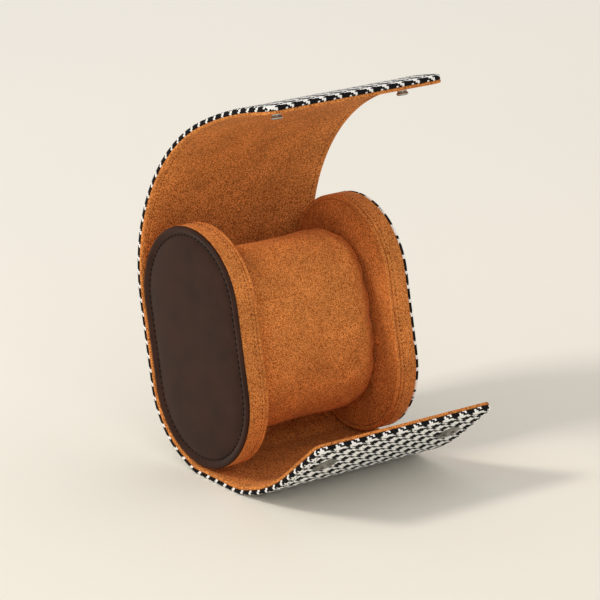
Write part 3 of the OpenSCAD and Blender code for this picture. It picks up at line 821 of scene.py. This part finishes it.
# %% Node tree for stitches
def stitch_tree():
    """A tree that lays stitches along the edges of a flat mesh."""
    tree = bpy.data.node_groups.new("stitch_row", "GeometryNodeTree")

    def socket(name, kind, value=None, in_out="INPUT"):
        new = tree.interface.new_socket(name, in_out=in_out, socket_type=f"NodeSocket{kind}")
        if value is not None:
            new.default_value = value

    def made(kind, inputs=(), output=0, **settings):
        return add(tree, kind, inputs, output, **settings)

    socket("Row", "Geometry")
    for name, value in (("Pitch", 1.9), ("Length", 1.35), ("Thickness", 0.4), ("Slant", 0.14)):
        socket(name, "Float", value)
    socket("Seed", "Int", 3)
    socket("Thread", "Material")
    socket("Stitches", "Geometry", in_out="OUTPUT")
    given = add(tree, "NodeGroupInput").node.outputs
    line = made("GeometryNodeMeshToCurve", {0: given["Row"]})
    spacing = {"Curve": line, "Length": given["Pitch"]}
    spaced = made("GeometryNodeResampleCurve", spacing, mode="LENGTH")
    ball = made("GeometryNodeMeshUVSphere", {"Segments": 8, "Rings": 5, "Radius": 0.5})
    sides = {0: given["Length"], 1: given["Thickness"], 2: given["Thickness"]}
    size = made("ShaderNodeCombineXYZ", sides)
    bar = made("GeometryNodeTransform", {"Geometry": ball, "Scale": size})
    tangent = made("GeometryNodeInputTangent")
    turn = made("FunctionNodeAlignRotationToVector", {"Vector": tangent}, axis="X", pivot_axis="Z")
    shares = {2: 0.6, 3: 1.4, "Seed": given["Seed"]}
    share = made("FunctionNodeRandomValue", shares, output=1, data_type="FLOAT")
    angle = made("ShaderNodeMath", {0: share, 1: given["Slant"]}, operation="MULTIPLY")
    spin = made("FunctionNodeEulerToRotation", {0: made("ShaderNodeCombineXYZ", {2: angle})})
    aimed = made("FunctionNodeRotateRotation", {0: turn, 1: spin}, rotation_space="LOCAL")
    row = {"Points": spaced, "Instance": bar, "Rotation": aimed}
    real = made("GeometryNodeRealizeInstances", {0: made("GeometryNodeInstanceOnPoints", row)})
    dressed = made("GeometryNodeSetMaterial", {0: real, "Material": given["Thread"]})
    add(tree, "NodeGroupOutput", {0: dressed})
    return tree


STITCHES = stitch_tree()
print("stitch tree:", len(STITCHES.nodes), "nodes")

# %% Stitches along rows
SOCKET_ID = {item.name: item.identifier for item in STITCHES.interface.items_tree}


def laid_stitches(name, rows, material, place, **sizes):
    """A mesh of stitches along flat rows, each vertex of it then moved by place(x, y, z).

    A row is a list of (x, y) points in millimetres; a closed row ends where it starts. Sizes
    are the tree's inputs by name.
    """
    points, edges = [], []
    for row in rows:
        base = len(points)
        closed = math.dist(row[0], row[-1]) < 1e-6
        kept = row[:-1] if closed else row
        points += [(x, y, 0.0) for x, y in kept]
        edges += [(base + i, base + i + 1) for i in range(len(kept) - 1)]
        if closed:
            edges.append((base + len(kept) - 1, base))
    mesh = bpy.data.meshes.new(name)
    mesh.from_pydata(points, edges, [])
    holder = placed(name, mesh)
    modifier = holder.modifiers.new("stitches", "NODES")
    modifier.node_group = STITCHES
    modifier[SOCKET_ID["Thread"]] = material
    for key, value in sizes.items():
        modifier[SOCKET_ID[key]] = value
    applied(holder, modifier)
    made = holder.data
    made.name = name
    for vertex in made.vertices:
        vertex.co = place(*vertex.co)
    for polygon in made.polygons:
        polygon.use_smooth = True
    tidy(made, 1e-7)
    return holder


print("inputs and output of the tree:", list(SOCKET_ID))

# %% Seams of the wrap
SEAM_INSET, SEAM_STEP, CUT_GAP, SHORTEST_ROW = 2.75, 0.4, 0.5, 5
IN_LINING, IN_COVER = 0.12, 0.06  # how deep the thread's middle lies in each layer


def refined(a, b, n):
    """The first n of n + 1 even places from a to b."""
    return [(a[0] + (b[0] - a[0]) * i / n, a[1] + (b[1] - a[1]) * i / n) for i in range(n)]


def seam(low, high):
    """The parts of the seam line that lie between two places along the wrap."""
    line = outline(SEAM_INSET)
    line.append(line[0])
    fine = []
    for a, b in zip(line, line[1:]):
        fine += refined(a, b, max(1, round(math.dist(a, b) / SEAM_STEP)))
    fine.append(fine[0])
    parts = groupby(fine, lambda point: low <= point[1] <= high)
    rows = [list(part) for inside, part in parts if inside]
    return [row for row in rows if len(row) >= SHORTEST_ROW]


count = 0
for body, (low, high, _, _) in SPANS.items():
    rows = seam(low + CUT_GAP, high - CUT_GAP)
    inner = laid_stitches(
        f"lining_stitches_{body}", rows, thread_brown,
        lambda x, t, n: on_wrap(x, t, LINING[0] + IN_LINING - n),
        Thickness=0.28, Length=0.9, Pitch=1.7,
    )
    outer = laid_stitches(
        f"cover_stitches_{body}", rows, thread_black,
        lambda x, t, n: on_wrap(x, t, COVER[1] - IN_COVER + n), Thickness=0.36,
    )
    for piece, slot in ((inner, "suede"), (outer, "houndstooth")):
        bend_across(piece, body)
        count += len(piece.data.polygons)
print("stitch faces on the wrap:", count)

# %% [markdown]
# ## The caps
#
# A cap is a stiff stadium-shaped box. Its outer face is leather or cloth turned over the
# edge, a suede band goes round the rim, a narrow welt of suede closes the inner edge and
# suede lines the inner side. All of them follow the same outline, so one function builds a
# skin from a profile of (distance in from the edge, height), swept round the stadium.

# %% Skins round a stadium
ARC_STEPS, SIDE_STEPS = 40, 22
RIPPLE_LONG, RIPPLE_WIDE = 9, 3


def stadium(inset):
    """Points round the cap's outline at an inset, as (u, v)."""
    r = max(CAP_R - inset, 0.0)
    points = []
    for sign in (1, -1):
        for i in range(ARC_STEPS):
            a = math.radians(180 * i / ARC_STEPS) + (0 if sign > 0 else math.pi)
            points.append((r * math.cos(a), sign * CAP_STRAIGHT + r * math.sin(a)))
        for i in range(SIDE_STEPS):
            v = sign * (CAP_STRAIGHT - 2 * CAP_STRAIGHT * i / SIDE_STEPS)
            points.append((-sign * r, v))
    return points


def cap_place(side):
    """The function that puts a cap's (u, v, z) on the left (-1) or right (1) end of the roll."""
    return lambda u, v, z: in_row(side * (HALF - z), u, v)


def cap_skin(name, side, profile, material, slot, ring=False, ripple=0.0):
    """A closed skin from a profile of (inset, z); a ring's profile closes on itself."""
    place = cap_place(side)
    vertices, flat = [], []
    for inset, z in profile:
        for u, v in stadium(inset):
            wave = Vector((u / RIPPLE_LONG + side, v / RIPPLE_LONG, z / RIPPLE_WIDE))
            inward = abs(noise.noise(wave) * ripple)
            w = math.copysign(max(0.0, abs(v) - CAP_STRAIGHT), v)
            r = math.hypot(u, w) or 1.0
            vertices.append(place(u - inward * u / r, v - inward * w / r, z))
            flat.append((u / MM, v / MM))
    faces = swept(len(profile), len(stadium(0)), ring=ring)
    made = new_mesh(name, vertices, faces, material)
    uv = made.data.uv_layers.new(name="flat")
    for loop in made.data.loops:
        uv.data[loop.index].uv = flat[loop.vertex_index]
    tidy(made.data)
    return made


print("points round a cap:", len(stadium(0)))

# %% Profiles of a cap
# As (inset, z) points. The face has a rim bead, a groove for its stitches and a
# slightly domed panel, and the band has a groove for its own
FACE_PROFILE = [
    (CAP_R, 1.6), (0.3, 1.6), (0.12, 1.58), (0.0, 1.35), (0.02, 1.0), (0.12, 0.7), (0.32, 0.48),
    (0.6, 0.36), (0.95, 0.32), (1.3, 0.36), (1.65, 0.5), (2.0, 0.68), (2.35, 0.8), (2.65, 0.9),
    (2.9, 1.0), (3.1, 1.02), (3.3, 1.0), (3.55, 0.94), (3.9, 0.86), (4.4, 0.72), (5.2, 0.58),
    (6.4, 0.45), (8, 0.33), (10.5, 0.2), (14, 0.1), (19, 0.03), (24, 0.0), (CAP_R, 0.0),
]
BAND_PROFILE = [
    (1.2, 1.64), (0.3, 1.64), (0.1, 1.74), (0.0, 2.1), (0.0, 2.8), (0.0, 3.7), (0.0, 4.6),
    (0.0, 5.5), (0.0, 6.3), (0.05, 6.7), (0.16, 7.0), (0.05, 7.3), (0.0, 7.6), (0.02, 7.95),
    (0.1, 8.25), (0.3, 8.36), (1.2, 8.36),
]
LINING_PROFILE = [
    (CAP_R, 8.4), (1.9, 8.4), (1.65, 8.7), (1.6, 9.2), (1.75, 9.5), (2.2, 9.64), (3.4, 9.7),
    (8, 9.7), (14, 9.7), (20, 9.7), (CAP_R, 9.7),
]
CORE_PROFILE = [
    (CAP_R, 1.66), (1.3, 1.66), (1.25, 1.75), (1.25, 8.2), (1.4, 8.34), (CAP_R, 8.34),
]
WELT_R, WELT_IN, WELT_Z = 0.8, 0.8, 9.2
WELT_PROFILE = [
    (WELT_IN + WELT_R * math.cos(math.radians(a)), WELT_Z + WELT_R * math.sin(math.radians(a)))
    for a in range(0, 360, 30)
]
print("points of face and band:", len(FACE_PROFILE), len(BAND_PROFILE))

# %% Caps
caps = []
for side, word, face_node, *face_finish in (
    (-1, "left", "left_cap_leather", leather, "leather"),
    (1, "right", "right_cap_cover", weave, "houndstooth"),
):
    for part, node, profile, finish in (
        ("face", face_node, FACE_PROFILE, face_finish),
        ("rim", f"{word}_cap_band", BAND_PROFILE, (suede_formed, "suede", True, 0.12)),
        ("welt", f"{word}_cap_piping", WELT_PROFILE, (suede_formed, "suede", True, 0.1)),
        ("inside", f"{word}_cap_lining", LINING_PROFILE, (suede_formed, "suede")),
        ("board", f"{word}_cap_core", CORE_PROFILE, (board, "board")),
    ):
        piece = cap_skin(f"{word}_cap_{part}", side, profile, *finish)
        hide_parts(node)
        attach(piece, "root")
        caps.append(piece)
print("cap pieces:", len(caps), "faces:", sum(len(p.data.polygons) for p in caps))

# %% Seams of the caps
FACE_SEAM, FACE_SEAM_Z, RIM_SEAM_Z, IN_BAND = 3.1, 0.88, 7.0, 0.12
ROUND_CAP = 2 * math.pi * CAP_R + 4 * CAP_STRAIGHT


def closed_row(inset):
    """A row round the cap's face that ends where it starts."""
    row = stadium(inset)
    fine = [point for a, b in zip(row, row[1:] + row[:1]) for point in refined(a, b, 4)]
    return fine + fine[:1]


def round_rim(side, sunk):
    """Bends a flat strip round the rim: y runs along it, x is the height z and z points out."""
    place = cap_place(side)

    def bent(z, run, out):
        r = CAP_R - sunk + out
        half, run = divmod(run % ROUND_CAP, ROUND_CAP / 2)
        turn = -1 if half else 1
        if run < math.pi * CAP_R:
            a = run / CAP_R
            u, v = r * math.cos(a), CAP_STRAIGHT + r * math.sin(a)
        else:
            u, v = -r, CAP_STRAIGHT - (run - math.pi * CAP_R)
        return place(turn * u, turn * v, z)

    return bent


for side, word, thread in ((-1, "left", thread_dark), (1, "right", thread_black)):
    place = cap_place(side)
    facing = laid_stitches(
        f"{word}_cap_face_stitches", [closed_row(FACE_SEAM)], thread,
        lambda u, v, n: place(u, v, FACE_SEAM_Z - n), Thickness=0.5, Length=1.4, Pitch=2.1,
    )
    steps = int((ROUND_CAP - 2) / SEAM_STEP)
    rim_row = [(RIM_SEAM_Z, 1 + SEAM_STEP * i) for i in range(steps)]
    rim = laid_stitches(
        f"{word}_cap_rim_stitches", [rim_row], thread_brown, round_rim(side, IN_BAND),
        Thickness=0.28, Length=0.8, Pitch=1.6,
    )
    for piece, slot in ((facing, "leather" if side < 0 else "houndstooth"), (rim, "suede")):
        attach(piece, "root")
print("rim length:", round(ROUND_CAP, 1), "mm")

# %% [markdown]
# ## The cushion
#
# The cushion is a sewn suede cover round soft foam, so it swells between its seams and
# draws in at them. That form is hard to draw and easy to blow up: a plain oval bag is pinned
# at its two end seams, inflated by the cloth simulation for a few frames and then fitted back
# to the cushion's size. The bag is simulated ten times its size, where cloth behaves as it
# does on a seat pad. Use has pressed a faint waist into its middle.

# %% The bag before it is filled
CUSHION_H, CUSHION_W, CUSHION_SHIFT, CUSHION_HALF = 66.0, 43.0, 1.5, 28.3
CUSHION_ROUND, ROUND_STEPS, ROUND_DROP, SQUARE, AROUND = 7.0, 7, 0.8, 2.3, 120
END_INSETS = (21.3, 19, 16.5, 14, 11.5, 9.5)
SIDE_END, SIDE_STEP = 20.3, 1.3
SEAM_X = CUSHION_HALF - CUSHION_ROUND / 2


def oval(angle, w, h):
    """A point of a squared oval with half sizes w and h."""
    c, s = math.cos(angle), math.sin(angle)
    return (
        w * math.copysign(abs(c) ** (2 / SQUARE), c),
        h * math.copysign(abs(s) ** (2 / SQUARE), s),
    )


# The rings of the bag: x, and how far each is drawn in from the widest outline
end = [(CUSHION_HALF, d) for d in END_INSETS]
corner = []
for i in range(ROUND_STEPS + 1):
    a = math.radians(90 * i / ROUND_STEPS)
    x = CUSHION_HALF - CUSHION_ROUND * (1 - math.cos(a))
    corner.append((x, CUSHION_ROUND * (1 - math.sin(a)) + ROUND_DROP))
middle = [(x, (x / CUSHION_HALF) ** 2) for x in evenly(0, SIDE_END, SIDE_STEP)[::-1]]
half = end + corner + middle
rings = half[:-1] + [(-x, d) for x, d in half[::-1]]
bag = []
for x, less in rings:
    for k in range(AROUND):
        angle = 2 * math.pi * k / AROUND
        bag.append(Vector((x, *oval(angle, CUSHION_W / 2 - less, CUSHION_H / 2 - less))))
faces = swept(len(rings), AROUND)
for base in (0, (len(rings) - 1) * AROUND):
    for k in range(1, AROUND // 2):
        a, b = base + k, base + (AROUND - k)
        c, d = base + k + 1, base + (AROUND - k - 1)
        if k == 1:
            faces.append((base, a, b))
        faces.append((a, c, d, b) if c != d else (a, c, b))
print("bag:", len(bag), "points,", len(rings), "rings")

# %% Fill the bag
BIGGER, PIN_REACH = 10.0, 0.8


def inflated(points, faces, pinned, frames=14, pressure=3.0, slack=-0.02, most=1.6):
    """The points after the bag is blown up as cloth, none of them moved by more than most mm."""
    holder = new_mesh("bag_in_progress", [p / MM * BIGGER for p in points], faces)
    group = holder.vertex_groups.new(name="pinned")
    group.add(pinned, 1.0, "REPLACE")
    bm = bmesh.new()
    bm.from_mesh(holder.data)
    bmesh.ops.recalc_face_normals(bm, faces=bm.faces)
    bm.to_mesh(holder.data)
    bm.free()
    cloth = holder.modifiers.new("cloth", "CLOTH")
    settings = cloth.settings
    settings.quality = 6
    settings.mass = 0.3
    settings.use_pressure = True
    settings.uniform_pressure_force = pressure
    settings.shrink_min = slack
    settings.vertex_group_mass = "pinned"
    settings.bending_stiffness = 2.0
    settings.effector_weights.gravity = 0
    cloth.collision_settings.use_collision = False
    scene = bpy.context.scene
    for i in range(1, frames + 1):
        scene.frame_set(i)
    graph = bpy.context.evaluated_depsgraph_get()
    result = holder.evaluated_get(graph).to_mesh()
    moved = []
    for before, vertex in zip(points, result.vertices):
        step = vertex.co / BIGGER * MM - before
        if step.length > most:
            step = step.normalized() * most
        moved.append(before + step)
    holder.evaluated_get(graph).to_mesh_clear()
    scene.frame_set(1)
    bpy.data.objects.remove(holder)
    return moved


pinned = []
for j, (x, _) in enumerate(rings):
    if abs(abs(x) - SEAM_X) < PIN_REACH:
        pinned += range(j * AROUND, (j + 1) * AROUND)
bag = inflated(bag, faces, pinned)
widest, tallest = (max(abs(p[axis]) for p in bag) for axis in (1, 2))
for p in bag:
    p.y *= min(1.0, CUSHION_W / 2 / widest)
    p.z *= min(1.0, CUSHION_H / 2 / tallest)
print("pinned points:", len(pinned), "half sizes:", round(widest, 1), round(tallest, 1))

# %% Finish the cushion
# Width and depth of the sunk seam, of the gathers beside it, of the waist and of the dents
SEAM_WIDE, SEAM_DEEP = 0.55, 0.5
GATHER_WIDE, GATHER_DEEP, GATHERS = 3.2, 0.35, 9
WAIST_WIDE, WAIST_DEEP = 9.5, 0.55
DENT_WIDE, DENT_DEEP = 13, 0.35
# The flat ends take little of all this, and stay inside the solid's
END_DEPTH, END_SHARE, FURTHEST = 1.5, 0.2, 28.25


def bell(distance, width, power=2):
    """1 at no distance, falling to nothing past the width."""
    return math.exp(-((distance / width) ** power))


# The filled bag in its place, sunk at its seams and pressed in at its waist
moved = []
for p in bag:
    inward = Vector((0, -p.y, -p.z)).normalized()
    from_seam = abs(p.x) - SEAM_X
    girth = math.atan2(p.z, p.y)
    fold = Vector((girth * GATHERS, math.copysign(1, p.x) * 3, 1))
    pucker = 0.5 + 0.5 * noise.noise(fold)
    deep = bell(from_seam, SEAM_WIDE) * SEAM_DEEP
    deep += bell(from_seam, GATHER_WIDE) * pucker * GATHER_DEEP
    deep += bell(p.x, WAIST_WIDE, 4) * WAIST_DEEP
    deep += max(0.0, noise.noise(p / DENT_WIDE) * DENT_DEEP)
    if abs(p.x) > CUSHION_HALF - END_DEPTH:
        deep *= END_SHARE
    q = p + inward * deep
    q.x = max(-FURTHEST, min(FURTHEST, q.x))
    moved.append(in_row(q.x, q.y + CUSHION_SHIFT, q.z))
cushion = new_mesh("watch_cushion", moved, faces, suede_formed)
tidy(cushion.data, 1e-6)
smooth = cushion.modifiers.new("smooth", "SUBSURF")
smooth.levels = smooth.render_levels = 1
applied(cushion, smooth)
for polygon in cushion.data.polygons:
    polygon.use_smooth = True
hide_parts("cushion_cover", "cushion_left_end", "cushion_right_end", "cushion_core")
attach(cushion, "cushion")
print("cushion faces:", len(cushion.data.polygons))
